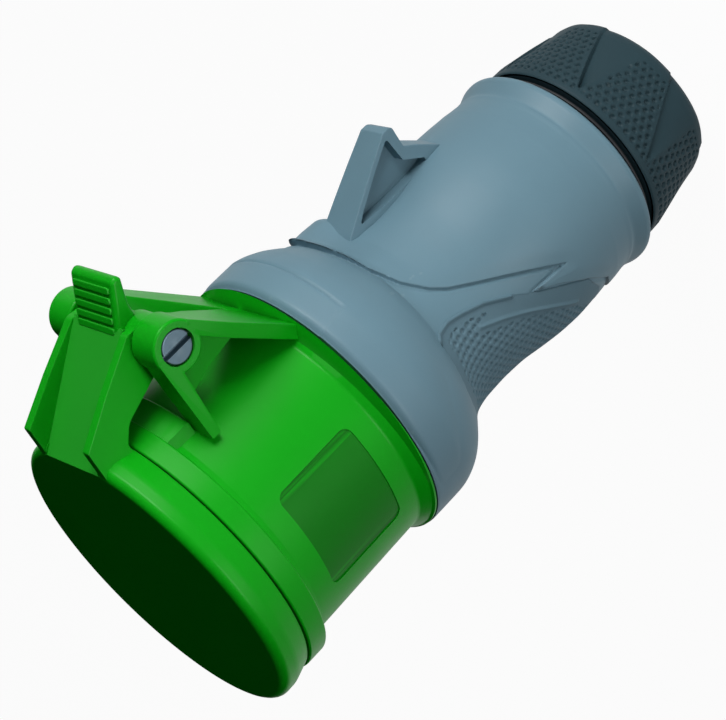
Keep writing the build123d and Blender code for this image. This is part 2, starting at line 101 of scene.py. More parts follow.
# Outlines, plates and turned parts
def rounded(points, steps=4):
    """Outline with its corners rounded: points are (a, b) or (a, b, radius)."""
    out = []
    n = len(points)
    for i, p in enumerate(points):
        here = Vector(p[:2])
        if len(p) < 3 or p[2] <= 0:
            out.append(tuple(here))
            continue
        before, after = Vector(points[i - 1][:2]) - here, Vector(points[(i + 1) % n][:2]) - here
        half = before.angle(after) / 2
        reach = min(p[2] / math.tan(half), 0.48 * before.length, 0.48 * after.length)
        radius = reach * math.tan(half)
        middle = here + (before.normalized() + after.normalized()).normalized() * radius / math.sin(half)
        a, b = here + before.normalized() * reach - middle, here + after.normalized() * reach - middle
        for k in range(steps + 1):
            t = k / steps
            v = a * (1 - t) + b * t
            out.append(tuple(middle + v.normalized() * radius))
    return out


def merge(bm, part):
    """Puts the faces of part into bm and frees part."""
    mesh = bpy.data.meshes.new("part")
    part.to_mesh(mesh)
    part.free()
    bm.from_mesh(mesh)
    bpy.data.meshes.remove(mesh)


def turned(bm, profile, axis=None, steps=0):
    """Ring turned about Z from a closed (radius, height) outline, or about the axis of a place."""
    steps = steps or sizes().facets
    part = bmesh.new()
    columns = []
    pole = {}
    for i in range(steps):
        a = 2 * math.pi * i / steps
        column = []
        for j, (r, z) in enumerate(profile):
            if r < 1e-6:
                if j not in pole:
                    pole[j] = part.verts.new((0, 0, z))
                column.append(pole[j])
            else:
                column.append(part.verts.new((r * math.cos(a), r * math.sin(a), z)))
        columns.append(column)
    n = len(profile)
    for i in range(steps):
        left, right = columns[i], columns[(i + 1) % steps]
        for j in range(n):
            k = (j + 1) % n
            corners = []
            for v in (left[j], right[j], right[k], left[k]):
                if v not in corners:
                    corners.append(v)
            if len(corners) > 2:
                part.faces.new(corners)
    bmesh.ops.recalc_face_normals(part, faces=part.faces)
    if axis is not None:
        bmesh.ops.transform(part, matrix=axis, verts=part.verts)
    merge(bm, part)


def slab(bm, outline, place, depth, edge=0.4, segments=2):
    """Plate of a closed outline, pushed along its own z by depth, with rounded edges."""
    part = bmesh.new()
    base = part.faces.new([part.verts.new((a, b, 0)) for a, b in outline])
    moved = bmesh.ops.extrude_face_region(part, geom=[base])
    lifted = [g for g in moved["geom"] if isinstance(g, bmesh.types.BMVert)]
    bmesh.ops.translate(part, vec=(0, 0, depth), verts=lifted)
    bmesh.ops.recalc_face_normals(part, faces=part.faces)
    if edge > 0:
        sharp = [e for e in part.edges if len(e.link_faces) == 2 and e.calc_face_angle(0) > math.radians(25)]
        bmesh.ops.bevel(part, geom=sharp, offset=edge, offset_type="OFFSET", segments=segments,
                        profile=0.55, affect="EDGES", clamp_overlap=True)
    bmesh.ops.transform(part, matrix=place, verts=part.verts)
    bmesh.ops.recalc_face_normals(part, faces=part.faces)
    merge(bm, part)


def across_x(x0):
    """Place of a slab whose outline is (y, z) and whose depth runs along +X from x0."""
    return Matrix(((0, 0, 1, x0), (1, 0, 0, 0), (0, 1, 0, 0), (0, 0, 0, 1)))


def axes(origin, x_dir, y_dir):
    """Place with its own x and y along two directions."""
    x = Vector(x_dir).normalized()
    z = x.cross(Vector(y_dir)).normalized()
    y = z.cross(x)
    return Matrix(((x.x, y.x, z.x, origin[0]), (x.y, y.y, z.y, origin[1]), (x.z, y.z, z.z, origin[2]),
                   (0, 0, 0, 1)))


def along_x(x, y, z):
    """Place of a turned part whose own axis runs along +X."""
    return Matrix(((0, 0, 1, x), (1, 0, 0, y), (0, 1, 0, z), (0, 0, 0, 1)))


def show(obj):
    """Puts an object into the scene."""
    bpy.context.scene.collection.objects.link(obj)


def combine(a, b, operation):
    """Exact boolean of two bmeshes."""
    made = []
    for source in (a, b):
        mesh = bpy.data.meshes.new("work")
        source.to_mesh(mesh)
        source.free()
        obj = bpy.data.objects.new("work", mesh)
        show(obj)
        made.append(obj)
    modifier = made[0].modifiers.new("combine", "BOOLEAN")
    modifier.operation, modifier.solver = operation, "EXACT"
    modifier.object, modifier.use_self = made[1], True
    shown = made[0].evaluated_get(bpy.context.evaluated_depsgraph_get())
    result = bmesh.new()
    result.from_mesh(shown.to_mesh())
    shown.to_mesh_clear()
    for obj in made:
        mesh = obj.data
        bpy.data.objects.remove(obj)
        bpy.data.meshes.remove(mesh)
    return result


def finish_piece(source, name, material, body, stands_for=(), crease=32.0, even=True):
    """Object in metres from a bmesh, or from (points, faces), riding on a body."""
    mesh = bpy.data.meshes.new(name)
    if isinstance(source, bmesh.types.BMesh):
        source.to_mesh(mesh)
        source.free()
    else:
        points, faces = source
        mesh.from_pydata(points.tolist(), [], faces.tolist())
        mesh.validate()
    mesh.transform(Matrix.Scale(MM, 4))
    mesh.polygons.foreach_set("use_smooth", [True] * len(mesh.polygons))
    mesh.set_sharp_from_angle(angle=math.radians(crease))
    mesh.materials.append(material)
    mesh.update()
    obj = bpy.data.objects.new(name, mesh)
    show(obj)
    if even:
        modifier = obj.modifiers.new("even shading", "WEIGHTED_NORMAL")
        modifier.keep_sharp, modifier.weight = True, 80
    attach(obj, body)
    if stands_for:
        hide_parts(*stands_for)
    return obj


# Height fields on turned surfaces
def line_distance(a, z, line, radius):
    """Distance in millimetres from (angle, height) grids to an open line of (angle, height) points."""
    best = np.full(a.shape, 1e9)
    k = math.radians(1) * radius
    for (a0, z0), (a1, z1) in zip(line, line[1:]):
        x0, y0, x1, y1 = a0 * k, z0, a1 * k, z1
        dx, dy = x1 - x0, y1 - y0
        t = np.clip(((a * k - x0) * dx + (z - y0) * dy) / (dx * dx + dy * dy), 0, 1)
        best = np.minimum(best, np.hypot(a * k - x0 - t * dx, z - y0 - t * dy))
    return best


def inside(a, z, polygon):
    """True where (angle, height) lies in a closed polygon."""
    hit = np.zeros(a.shape, bool)
    for (a0, z0), (a1, z1) in zip(polygon, polygon[1:] + polygon[:1]):
        if z0 == z1:
            continue
        crosses = (z0 > z) != (z1 > z)
        hit ^= crosses & (a < (a1 - a0) * (z - z0) / (z1 - z0) + a0)
    return hit


def soft(distance, width):
    """0 to 1 over a width, smooth at both ends."""
    t = np.clip(distance / width + 0.5, 0, 1)
    return t * t * (3 - 2 * t)


def signed(a, z, polygon, radius):
    """Distance to a polygon's edge, positive inside."""
    d = line_distance(a, z, polygon + polygon[:1], radius)
    return np.where(inside(a, z, polygon), d, -d)


def along_line(line, z, width):
    """Radius of a line at heights z, its corners smoothed over a width."""
    heights, radii = np.array([p[1] for p in line][::-1]), np.array([p[0] for p in line][::-1])
    fine = np.arange(heights[0], heights[-1], 0.1)
    values = np.interp(fine, heights, radii)
    reach = int(width * 25)
    kernel = np.exp(-0.5 * (np.arange(-reach, reach + 1) * 0.1 / width) ** 2)
    values = np.convolve(np.pad(values, reach, mode="edge"), kernel / kernel.sum(), mode="valid")
    return np.interp(z, fine, values)


def grip_radius(z, a=None):
    """Radius of the grip housing at heights z, with the collar's swell if clock angles are given."""
    crisp = np.clip(np.maximum((44.0 - z) / 2.0, (z - 124.0) / 2.0), 0, 1)
    r = along_line(GRIP_LINE, z, 1.5) * (1 - crisp) + along_line(GRIP_LINE, z, 0.25) * crisp
    if a is None:
        return r
    own = along_line(SWELL_LINE, z, 0.7)
    t = np.radians(a)
    swell = SWELL_SHIFT * np.cos(t) + np.sqrt(np.maximum(own ** 2 - (SWELL_SHIFT * np.sin(t)) ** 2, 1.0))
    k = 0.5
    return k * np.logaddexp(r / k, swell / k) - k * math.log(2) * np.exp(-np.abs(r - swell) / k)


def gathered(a, z, distance, reach, power, radius):
    """Moves grid points along the distance field so that they crowd where it is zero."""
    d = distance(a, z)
    step = 0.05
    ga = (distance(a + math.degrees(step / radius), z) - d) / step
    gz = (distance(a, z + step) - d) / step
    size = np.maximum(np.hypot(ga, gz), 0.3)
    t = np.clip(np.abs(d) / reach, 0, 1)
    move = np.sign(d) * reach * t ** power - d
    move = np.where((np.abs(d) < reach) & (np.hypot(ga, gz) > 0.5), move, 0)
    return a + np.degrees(move * ga / size ** 2 / radius), z + move * gz / size ** 2


def shell_side(a, z):
    """Distance to the edge of the raised upper shell, positive on it; it sags by the far foot."""
    z = z - 1.3 * np.exp(-((a + 30.0) / 13.0) ** 2)
    a = np.abs(a)
    edge = line_distance(a, z, SHELL_EDGE, GRIP_R)
    return np.where(inside(a, z, SHELL_EDGE + [(180.001, 20.0), (-0.001, 20.0)]), edge, -edge)


def shell_field(a, z):
    """Height of the raised upper shell over the plain grip surface."""
    side = shell_side(a, z)
    lip = 1.4 * np.exp(-(a / 30.0) ** 2) * np.clip((z - 96.0) / 9.0, 0, 1)
    foot = np.maximum(FOOT_R - grip_radius(z), 0) * soft(z - 92.0,
            9.0) * np.exp(-((a - FOOT_CLOCK) / 15.0) ** 2)
    height = (0.5 + lip) * soft(side, 0.3) + 0.28 * soft(side - 2.2,
            4.5) - 0.5 * np.exp(-((side + 0.4) / 0.38) ** 2)
    height += foot * (0.7 + 0.3 * soft(side, 0.3))
    return height * np.clip((z - 41.0) / 6.0, 0, 1)


def dimples(a, z, field, radius, pitch_a, pitch_z, size, depth, turn=0.0):
    """Small round pits in staggered rows inside a field."""
    x = np.radians(a) * radius
    u, v = x * math.cos(turn) - z * math.sin(turn), x * math.sin(turn) + z * math.cos(turn)
    row = np.round(u / pitch_a)
    v = v + np.where(row % 2 == 0, 0, pitch_z / 2)
    away = np.hypot(u - row * pitch_a, v - np.round(v / pitch_z) * pitch_z)
    pit = -depth * soft(size - away, size * 0.9)
    return pit * (field > 0.9)


def grid_faces(rows, columns, wrap):
    """Quads of a grid of rows by columns, closed round its columns if wrap."""
    i, j = np.meshgrid(np.arange(rows - 1), np.arange(columns if wrap else columns - 1), indexing="ij")
    k = (j + 1) % columns
    return np.stack([i * columns + j, (i + 1) * columns + j, (i + 1) * columns + k, i * columns + k],
                    -1).reshape(-1, 4)


def on_cylinder(radius, angle, z):
    """Points from radius, clock angle from +Y and height."""
    t = np.radians(angle)
    return np.stack([radius * np.sin(t), radius * np.cos(t), z], -1).reshape(-1, 3)


def level_ring(radius, angle, height):
    """Ring of points at one radius and one height."""
    return on_cylinder(np.full(len(angle), radius), angle, np.full(len(angle), height))


# Materials
def group(name, inputs, outputs):
    """Empty shader group with its sockets, and its input and output nodes."""
    tree = bpy.data.node_groups.new(name, "ShaderNodeTree")
    for label, kind, default in inputs:
        socket = tree.interface.new_socket(label, in_out="INPUT", socket_type=kind)
        if default is not None:
            socket.default_value = default
    for label, kind in outputs:
        tree.interface.new_socket(label, in_out="OUTPUT", socket_type=kind)
    return tree, tree.nodes.new("NodeGroupInput"), tree.nodes.new("NodeGroupOutput")


def node(tree, kind, **values):
    """Node with its attributes and input defaults set."""
    made = tree.nodes.new(kind)
    for key, value in values.items():
        if hasattr(made, key):
            setattr(made, key, value)
        else:
            made.inputs[key.replace("_", " ")].default_value = value
    return made


def reckon(tree, operation, *values):
    """Output of a math node whose inputs are sockets to link or numbers to set."""
    made = node(tree, "ShaderNodeMath", operation=operation)
    for socket, value in zip(made.inputs, values):
        if isinstance(value, float):
            socket.default_value = value
        else:
            tree.links.new(value, socket)
    return made.outputs[0]


def tone_group():
    """Colour of a moulding: cloudy variation, paler worn edges, and painted shade that darkens it in hollows.
    """
    if "Moulding tone" in bpy.data.node_groups:
        return bpy.data.node_groups["Moulding tone"]
    inputs = [("Color", "NodeSocketColor", (0.5, 0.5, 0.5, 1)), ("Variation", "NodeSocketFloat", 0.1),
              ("Edge", "NodeSocketFloat", 0.2), ("Scale", "NodeSocketFloat", 60.0),
              ("Roughness", "NodeSocketFloat", 0.4)]
    outputs = [("Color", "NodeSocketColor"), ("Roughness", "NodeSocketFloat")]
    tree, source, target = group("Moulding tone", inputs, outputs)
    link = tree.links.new
    place = node(tree, "ShaderNodeTexCoord")
    cloud = node(tree, "ShaderNodeTexNoise", Detail=5.0, Roughness=0.6)
    link(place.outputs["Object"], cloud.inputs["Vector"])
    link(source.outputs["Scale"], cloud.inputs["Scale"])
    centre = reckon(tree, "SUBTRACT", cloud.outputs["Fac"], 0.5)
    value = reckon(tree, "ADD", reckon(tree, "MULTIPLY", centre, source.outputs["Variation"]), 1.0)
    tint = node(tree, "ShaderNodeHueSaturation")
    link(source.outputs["Color"], tint.inputs["Color"])
    link(value, tint.inputs["Value"])
    shape = node(tree, "ShaderNodeNewGeometry")
    worn = node(tree, "ShaderNodeMapRange", interpolation_type="SMOOTHSTEP")
    worn.inputs["From Min"].default_value, worn.inputs["From Max"].default_value = 0.53, 0.62
    link(shape.outputs["Pointiness"], worn.inputs["Value"])
    edge = reckon(tree, "MULTIPLY", worn.outputs["Result"], source.outputs["Edge"])
    pale = node(tree, "ShaderNodeMix", data_type="RGBA", blend_type="SCREEN")
    link(edge, pale.inputs["Factor"])
    link(tint.outputs["Color"], pale.inputs[6])
    pale.inputs[7].default_value = (0.35, 0.38, 0.36, 1)
    # painted shade: low pointiness darkens hollows and pits down to 0.18 of the colour, standing in for
    # occlusion
    hollow = node(tree, "ShaderNodeMapRange", interpolation_type="SMOOTHSTEP")
    hollow.inputs["From Min"].default_value, hollow.inputs["From Max"].default_value = 0.38, 0.485
    hollow.inputs["To Min"].default_value, hollow.inputs["To Max"].default_value = 0.18, 1.0
    link(shape.outputs["Pointiness"], hollow.inputs["Value"])
    shade = node(tree, "ShaderNodeVectorMath", operation="SCALE")
    link(pale.outputs[2], shade.inputs[0])
    link(hollow.outputs["Result"], shade.inputs["Scale"])
    link(shade.outputs["Vector"], target.inputs["Color"])
    link(reckon(tree, "MULTIPLY_ADD", centre, 0.22, source.outputs["Roughness"]),
         target.inputs["Roughness"])
    return tree


def grain_group():
    """Height of a spark-eroded moulding grain."""
    if "Moulding grain" in bpy.data.node_groups:
        return bpy.data.node_groups["Moulding grain"]
    tree, source, target = group("Moulding grain", [("Scale", "NodeSocketFloat", 2600.0)],
                                 [("Height", "NodeSocketFloat")])
    link = tree.links.new
    place = node(tree, "ShaderNodeTexCoord")
    fine = node(tree, "ShaderNodeTexNoise", Detail=3.0, Roughness=0.55)
    cells = node(tree, "ShaderNodeTexVoronoi")
    for texture in (fine, cells):
        link(place.outputs["Object"], texture.inputs["Vector"])
        link(source.outputs["Scale"], texture.inputs["Scale"])
    both = reckon(tree, "MULTIPLY_ADD", cells.outputs["Distance"], 0.35, fine.outputs["Fac"])
    link(both, target.inputs["Height"])
    return tree


def finish(name, color, roughness, grain=2600.0, bump=0.05, variation=0.12, edge=0.2, scale=60.0,
           metallic=0.0, specular=0.5):
    """Material of one finish, from the two shared groups."""
    if name in bpy.data.materials:
        return bpy.data.materials[name]
    material = bpy.data.materials.new(name)
    material.use_nodes = True
    tree = material.node_tree
    link = tree.links.new
    shader = tree.nodes["Principled BSDF"]
    tone = tree.nodes.new("ShaderNodeGroup")
    tone.node_tree = tone_group()
    tone.inputs["Color"].default_value = (*color, 1)
    tone.inputs["Variation"].default_value = variation
    tone.inputs["Edge"].default_value = edge
    tone.inputs["Scale"].default_value = scale
    tone.inputs["Roughness"].default_value = roughness
    link(tone.outputs["Color"], shader.inputs["Base Color"])
    link(tone.outputs["Roughness"], shader.inputs["Roughness"])
    shader.inputs["Metallic"].default_value = metallic
    shader.inputs["Specular IOR Level"].default_value = specular
    height = tree.nodes.new("ShaderNodeGroup")
    height.node_tree = grain_group()
    height.inputs["Scale"].default_value = grain
    raised = node(tree, "ShaderNodeBump", Strength=bump, Distance=0.0002)
    link(height.outputs["Height"], raised.inputs["Height"])
    link(raised.outputs["Normal"], shader.inputs["Normal"])
    material.diffuse_color = (*color, 1)
    return material


def green():
    """Moulding of the socket shell and the lid."""
    return finish("green moulding", colours().shell, 0.34, bump=0.08, variation=0.08, edge=0.04,
                  specular=0.14)


def grey():
    """Moulding of the grip."""
    return finish("grey moulding", colours().housing, 0.45, bump=0.12, variation=0.08, edge=0.08,
                  specular=0.25)


def inlay_grey():
    """Soft inlays of the grip."""
    return finish("soft grip inlay", colours().inlay, 0.58, bump=0.2, variation=0.12, edge=0.35,
                  specular=0.16)


def nut_dark():
    """Moulding of the gland nut."""
    return finish("dark nut moulding", colours().nut, 0.5, bump=0.2, variation=0.16, edge=0.06,
                  specular=0.12)


def black():
    """Carrier and the rings of the gland."""
    return finish("black moulding", (0.02, 0.02, 0.022), 0.5, bump=0.15, variation=0.2, edge=0.3)


def rubber():
    """Seals and the cable sleeve."""
    return finish("seal rubber", (0.010, 0.011, 0.013), 0.5, bump=0.1, variation=0.2, edge=0.1,
                  specular=0.4)


def steel():
    """Spring, small screws and rings."""
    return finish("zinc plated steel", (0.42, 0.52, 0.58), 0.38, grain=1400.0, bump=0.08, variation=0.25,
                  edge=0.3, scale=300.0, metallic=1.0)


def zinc():
    """Head of the hinge screw."""
    return finish("dull zinc", (0.12, 0.18, 0.22), 0.42, grain=1400.0, bump=0.10, variation=0.35, edge=0.5,
                  scale=420.0, metallic=1.0)


def brass():
    """Contact sleeves."""
    return finish("turned brass", (0.72, 0.50, 0.20), 0.3, grain=1400.0, bump=0.06, variation=0.2, edge=0.2,
                  scale=260.0, metallic=1.0)


def colours():
    """Colours set in the sidebar."""
    return bpy.context.scene.connector_colours


def sizes():
    """Sizes and counts set in the sidebar."""
    return bpy.context.scene.connector_sizes


# Makers of the pieces
def make_shell():
    """Socket shell: flange, tapered body, keyway ridge, label recess and hinge bracket."""
    body = bmesh.new()
    profile = rounded([(36.4, 181.5, 0.3), (41.8, 181.5, 0.5), (41.8, 175.6, 0.5), (38.5, 175.6, 0.7),
                       (38.05, 173.2, 2.0), (37.93, 167.6), (37.77, 160.0), (37.56, 150.0), (37.38, 141.3),
                       (37.25, 135.3, 2.0), (39.1, 132.3, 0.3), (39.8, 131.9, 0.15), (39.8, 131.3),
                       (38.4, 131.3), (38.4, 122.4), (36.9, 122.4), (36.9, 119.2), (38.4, 119.2),
                       (38.4, 116.5), (35.0, 116.5), (35.0, 132.0), (29.9, 132.0), (29.9, 138.0),
                       (35.3, 138.0, 0.5), (35.3, 180.4)])
    turned(body, profile)
    ridge = bmesh.new()
    slab(ridge, rounded([(-5.5, -36.4), (5.5, -36.4), (5.2, -39.6, 1.2), (-5.2, -39.6, 1.2)]),
         Matrix.Translation((0, 0, 132.3)), 43.2, edge=0.3)
    body = combine(body, ridge, "UNION")
    key = bmesh.new()
    slab(key, [(-3.6, -37.4), (3.6, -37.4), (3.6, -30.5), (-3.6, -30.5)], Matrix.Translation((0, 0, 138.0)),
         50, edge=0)
    body = combine(body, key, "DIFFERENCE")
    label = bmesh.new()
    slab(label, rounded([(-15.2, 141.5, 2.5), (15.6, 141.5, 2.5), (15.6, 167.2, 2.5), (-15.2, 167.2, 2.5)],
                        6), across_x(26.0), 15.0, edge=0)
    core = bmesh.new()
    turned(core, [(0, 180.0), (37.9, 180.0), (36.85, 130.0), (0, 130.0)])
    label = combine(label, core, "DIFFERENCE")
    body = combine(body, label, "DIFFERENCE")
    bracket = bmesh.new()
    # flange pad between the ears
    pad = bmesh.new()
    turned(pad, rounded([(36.5, 176.5), (41.2, 176.5), (41.2, 168.3, 0.6), (36.5, 168.3)]))
    keep = bmesh.new()
    slab(keep, [(-17.6, 20), (17.6, 20), (17.6, 60), (-17.6, 60)], Matrix.Translation((0, 0, 160.0)), 30,
         edge=0)
    merge(bracket, combine(pad, keep, "INTERSECT"))
    # sloped arms: outline in (x, distance along the slope)
    low = Vector((0, 38.4, 133.6))
    slope = Vector((0, 22.0, 22.0)).normalized()
    for side in (-1, 1):
        arm = [(side * 19.6, -4.0), (side * EAR_OUTER, 19.0), (side * EAR_OUTER, 32.5), (side * 14.3, 32.5),
               (side * 14.2, 31.3), (side * 10.2, 25.6), (side * 5.2, 14.6), (side * 0.5, 5.6), (0.0, 5.2),
               (0.0, -4.0)]
        if side > 0:
            arm = arm[::-1]
        slab(bracket, arm, axes(low, (1, 0, 0), slope), 3.9, edge=0.35)
        x0 = 14.0 if side > 0 else -EAR_OUTER
        turned(bracket, rounded([(0, 0), (6.8, 0, 0.7), (6.8, 9.7, 0.7), (0, 9.7)]), steps=72,
               axis=along_x(x0, HINGE.y, HINGE.z))
        x0 = 16.0 if side > 0 else -EAR_OUTER
        slab(bracket, rounded([(58.0, 168.9, 0.5), (32.6, 167.8, 0.5), (32.7, 165.0, 0.5),
                               (53.0, 164.4, 2.0), (57.0, 158.0)]), across_x(x0), 7.7, edge=0.35)
        x0 = 15.2 if side > 0 else -18.0
        slab(bracket, rounded([(58.0, 164.0), (57.0, 155.0), (46.0, 144.6), (45.9, 147.0, 4.0),
                               (44.4, 157.0, 4.0), (41.0, 166.0)]), across_x(x0), 2.8, edge=0.2)
    turned(bracket, rounded([(36.0, 131.35), (40.75, 131.35, 0.2), (40.65, 131.9, 0.3), (39.0, 132.7, 1.0),
                             (36.0, 134.0)]), axis=Matrix.Translation((0, SWELL_SHIFT, 0)))
    hollow = bmesh.new()
    turned(hollow, [(0, 185.0), (36.6, 185.0), (36.2, 131.95), (60.0, 131.95), (60.0, 100.0), (0, 100.0)])
    bracket = combine(bracket, hollow, "DIFFERENCE")
    head = bmesh.new()
    turned(head, rounded([(0, 0), (4.7, 0), (4.7, 4.0), (0, 4.0)]), steps=72,
           axis=along_x(21.3, HINGE.y, HINGE.z))
    bracket = combine(bracket, head, "DIFFERENCE")
    merge(body, bracket)
    return finish_piece(body, "socket_shell_moulding", green(), "housing", ["socket_shell"])


def make_lid():
    """Lid: dished disc, channel lever, ribbed thumb tab and hinge barrel."""
    lid = bmesh.new()
    turned(lid, rounded([(0, 192.3), (43.4, 192.3, 3.0), (43.3, 187.2, 6.0), (41.7, 182.0, 0.5),
                         (40.0, 182.0), (40.0, 184.2), (34.4, 184.2), (34.4, 182.0, 0.4),
                         (33.0, 182.0, 0.4), (33.0, 189.2, 1.0), (0, 189.2)], 8),
           axis=Matrix.Translation((0, 0.7, 0)))
    lever = bmesh.new()
    floor_a, floor_b = Vector((0, 40.3, 192.3)), Vector((0, 63.2, 167.2))
    down = (floor_b - floor_a).normalized()
    out = Vector((0, -down.z, down.y))
    channel = bmesh.new()
    slab(channel, [(-11.6, -8.0), (11.6, -8.0), (11.6, 14.0), (-11.6, 14.0)],
         axes(floor_a - out * 0.2, (1, 0, 0), down), 8.2, edge=0)
    lid = combine(lid, channel, "DIFFERENCE")
    # side flanges, each turned in a little towards the barrel
    side_line = rounded([(36.0, 191.6), (39.2, 192.2), (48.4, 192.2, 0.8), (56.0, 180.4, 14.0),
                         (63.4, 167.6, 2.4), (63.0, 162.0, 3.0), (57.6, 157.0, 3.0), (51.6, 161.6, 2.0),
                         (50.1, 168.0, 3.0), (46.2, 179.4, 5.0), (42.4, 182.5), (36.0, 182.6)])
    for side in (-1, 1):
        plate = bmesh.new()
        slab(plate, side_line, across_x(0.0), 2.9, edge=0.35)
        inward = 0.052 * side
        lean = Matrix(((1, 0.0, inward, -inward * 176.0), (0, 1, 0, 0), (0, 0, 1, 0), (0, 0, 0, 1)))
        shift = Matrix.Translation((11.2 if side > 0 else -14.1, 0, 0))
        bmesh.ops.transform(plate, matrix=shift @ lean, verts=plate.verts)
        merge(lever, plate)
    # channel floor, running into the thumb tab
    length = (floor_b - floor_a).length
    width_a, width_b = 12.4, 10.6
    floor = [(-width_a, 0.0), (width_a, 0.0), (width_b, length + 1.0), (-width_b, length + 1.0)]
    slab(lever, floor, axes(floor_a - out * 2.6, (1, 0, 0), down), 2.6, edge=0)
    tab_a, tab_b = Vector((0, 61.4, 168.1)), Vector((0, 73.6, 162.0))
    run = (tab_b - tab_a).normalized()
    rise = Vector((0, -run.z, run.y))
    tab_length = (tab_b - tab_a).length
    slab(lever, rounded([(61.0, 168.4), (73.9, 161.9, 1.6), (74.6, 160.2, 1.2), (73.4, 158.8, 1.2),
                         (70.0, 159.9, 3.0), (66.5, 160.9, 3.0), (60.0, 160.9), (56.0, 160.0),
                         (56.0, 166.0)]), across_x(-9.4), 18.8, edge=1.2, segments=4)
    for i in range(5):
        foot = tab_a + run * (tab_length * (i + 0.75) / 5.5)
        slab(lever, rounded([(-7.9, -0.8, 0.5), (7.9, -0.8, 0.5), (7.9, 0.8, 0.5), (-7.9, 0.8, 0.5)]),
             axes(foot - rise * 0.4, (1, 0, 0), run), 0.95, edge=0.35)
    for x0 in (-13.7, 6.4):
        turned(lever, rounded([(2.6, 0), (6.0, 0, 0.4), (6.0, 7.3, 0.4), (2.6, 7.3)]), steps=72,
               axis=along_x(x0, HINGE.y, HINGE.z))
    slab(lever, rounded([(60.6, 166.0), (62.8, 165.4), (63.0, 159.8, 2), (60.2, 158.0)]), across_x(-13.6),
         27.2, edge=0.3)
    merge(lid, lever)
    return finish_piece(lid, "lid_moulding", green(), "lid", ["lid"])


def make_lid_seal():
    """Flat gasket in the lid."""
    bm = bmesh.new()
    turned(bm, rounded([(34.7, 184.1), (39.7, 184.1), (39.7, 181.6, 0.6), (37.6, 181.6, 0.4),
                        (37.2, 182.1, 0.4), (36.8, 181.6, 0.4), (34.7, 181.6, 0.6)]))
    return finish_piece(bm, "lid_gasket", rubber(), "lid", ["lid_seal"])


def make_hinge_screw():
    """Slotted cheese-head screw in the near ear."""
    bm = bmesh.new()
    turned(bm, rounded([(0, 0), (2.5, 0, 0.4), (2.5, 42.1), (4.4, 42.1, 0.2), (4.4, 44.1, 0.5), (0, 44.1)]),
           steps=72, axis=along_x(-20.7, HINGE.y, HINGE.z))
    slot = bmesh.new()
    turn = Matrix.Translation((21.8, HINGE.y, HINGE.z)) @ Matrix.Rotation(math.radians(91), 4, "X")
    slab(slot, [(-6, -0.75), (6, -0.75), (6, 0.75), (-6, 0.75)], turn @ across_x(0), 4.0, edge=0)
    return finish_piece(combine(bm, slot, "DIFFERENCE"), "hinge_screw_head", zinc(), "housing",
                        ["hinge_screw"])


def grip_band(name, rows, angle, before=(), after=(), stands_for=()):
    """One band of the grip housing: a grid over heights and clock angles with the seam and the inlay beds."""
    closed = len(angle) == ROUND
    a, z = np.meshgrid(angle, rows)
    a, z = gathered(a, z, shell_side, 1.3, 2.0, GRIP_R)
    r = grip_radius(z, a) + shell_field(a, z)
    panel = signed(np.abs(a), z, [(-5, 121.3), (36.3, 121.3), (37.2, 134), (-5, 134)], 42.0)
    fade = 0.3 + 0.7 * np.clip((36.0 - np.abs(a)) / 8.0, 0, 1)
    r -= 0.25 * soft(panel, 0.5) + 0.35 * np.exp(-(panel / 0.28) ** 2) * fade
    pad = signed(np.abs(a), z, INLAY, INLAY_R)
    r -= 1.1 * soft(pad - 0.9, 0.8)
    rings = [on_cylinder(r, a, z)]
    for radius, height in before:
        rings.insert(0, level_ring(radius, angle, height))
    for radius, height in after:
        rings.append(level_ring(radius, angle, height))
    faces = grid_faces(len(rows) + len(before) + len(after), len(angle), closed)
    return finish_piece((np.concatenate(rings), faces), name, grey(), "housing", stands_for,
                        crease=45.0, even=False)


def make_housing():
    """Grip housing: swollen collar, raised upper shell with its seam, and the rear collar."""
    whole = np.arange(ROUND) * 360.0 / ROUND
    whole = np.where(whole > 180, whole - 360, whole)
    top = np.concatenate([np.arange(131.0, 130.0, -0.2), np.arange(130.0, 107.9, -0.5)])
    mouth = ((39.6, 131.0), (38.9, 131.0), (38.7, 130.7), (38.7, 116.2), (36.0, 116.2))
    grip_band("grip_housing_collar", top, whole, before=mouth, stands_for=["grip_housing"])
    middle = np.linspace(108.0, 43.5, 190)
    grip_band("grip_housing_near", middle, np.linspace(0, 180, 420))
    grip_band("grip_housing_far", middle, np.linspace(-180, 0, 420))
    low = np.concatenate([np.arange(43.5, 41.0, -0.5), np.arange(41.0, 32.6, -0.2), [32.5]])
    inner = ((30.6, 32.4), (18.6, 32.4), (18.5, 36.0), (15.5, 36.0), (15.5, 40.0))
    grip_band("grip_housing_rear", low, whole, after=inner)


def make_spigot():
    """Threaded spigot with its helical thread and plain lead-in."""
    z = np.arange(32.4, 12.9, -0.25)
    columns = 192
    angle = np.arange(columns) * 360.0 / columns
    a, zz = np.meshgrid(angle, z)
    wave = np.abs(((zz / 3.0 + a / 360.0) % 1.0) - 0.5) * 2
    ends = np.clip(zz - 13.6, 0, 1) * np.clip(30.6 - zz, 0, 1)
    depth = 0.9 * np.clip(1.3 * wave - 0.15, 0, 1) * ends
    points = [on_cylinder(24.0 - depth, a, zz)]
    inner = ((23.6, 13.0), (18.9, 13.0), (18.5, 13.4), (18.5, 36.0), (15.5, 36.0), (15.5, 40.0))
    for radius, height in inner:
        points.append(level_ring(radius, angle, height))
    return finish_piece((np.concatenate(points), grid_faces(len(z) + len(inner), columns, True)),
                        "threaded_spigot", grey(), "housing", ["gland_spigot"], even=False)


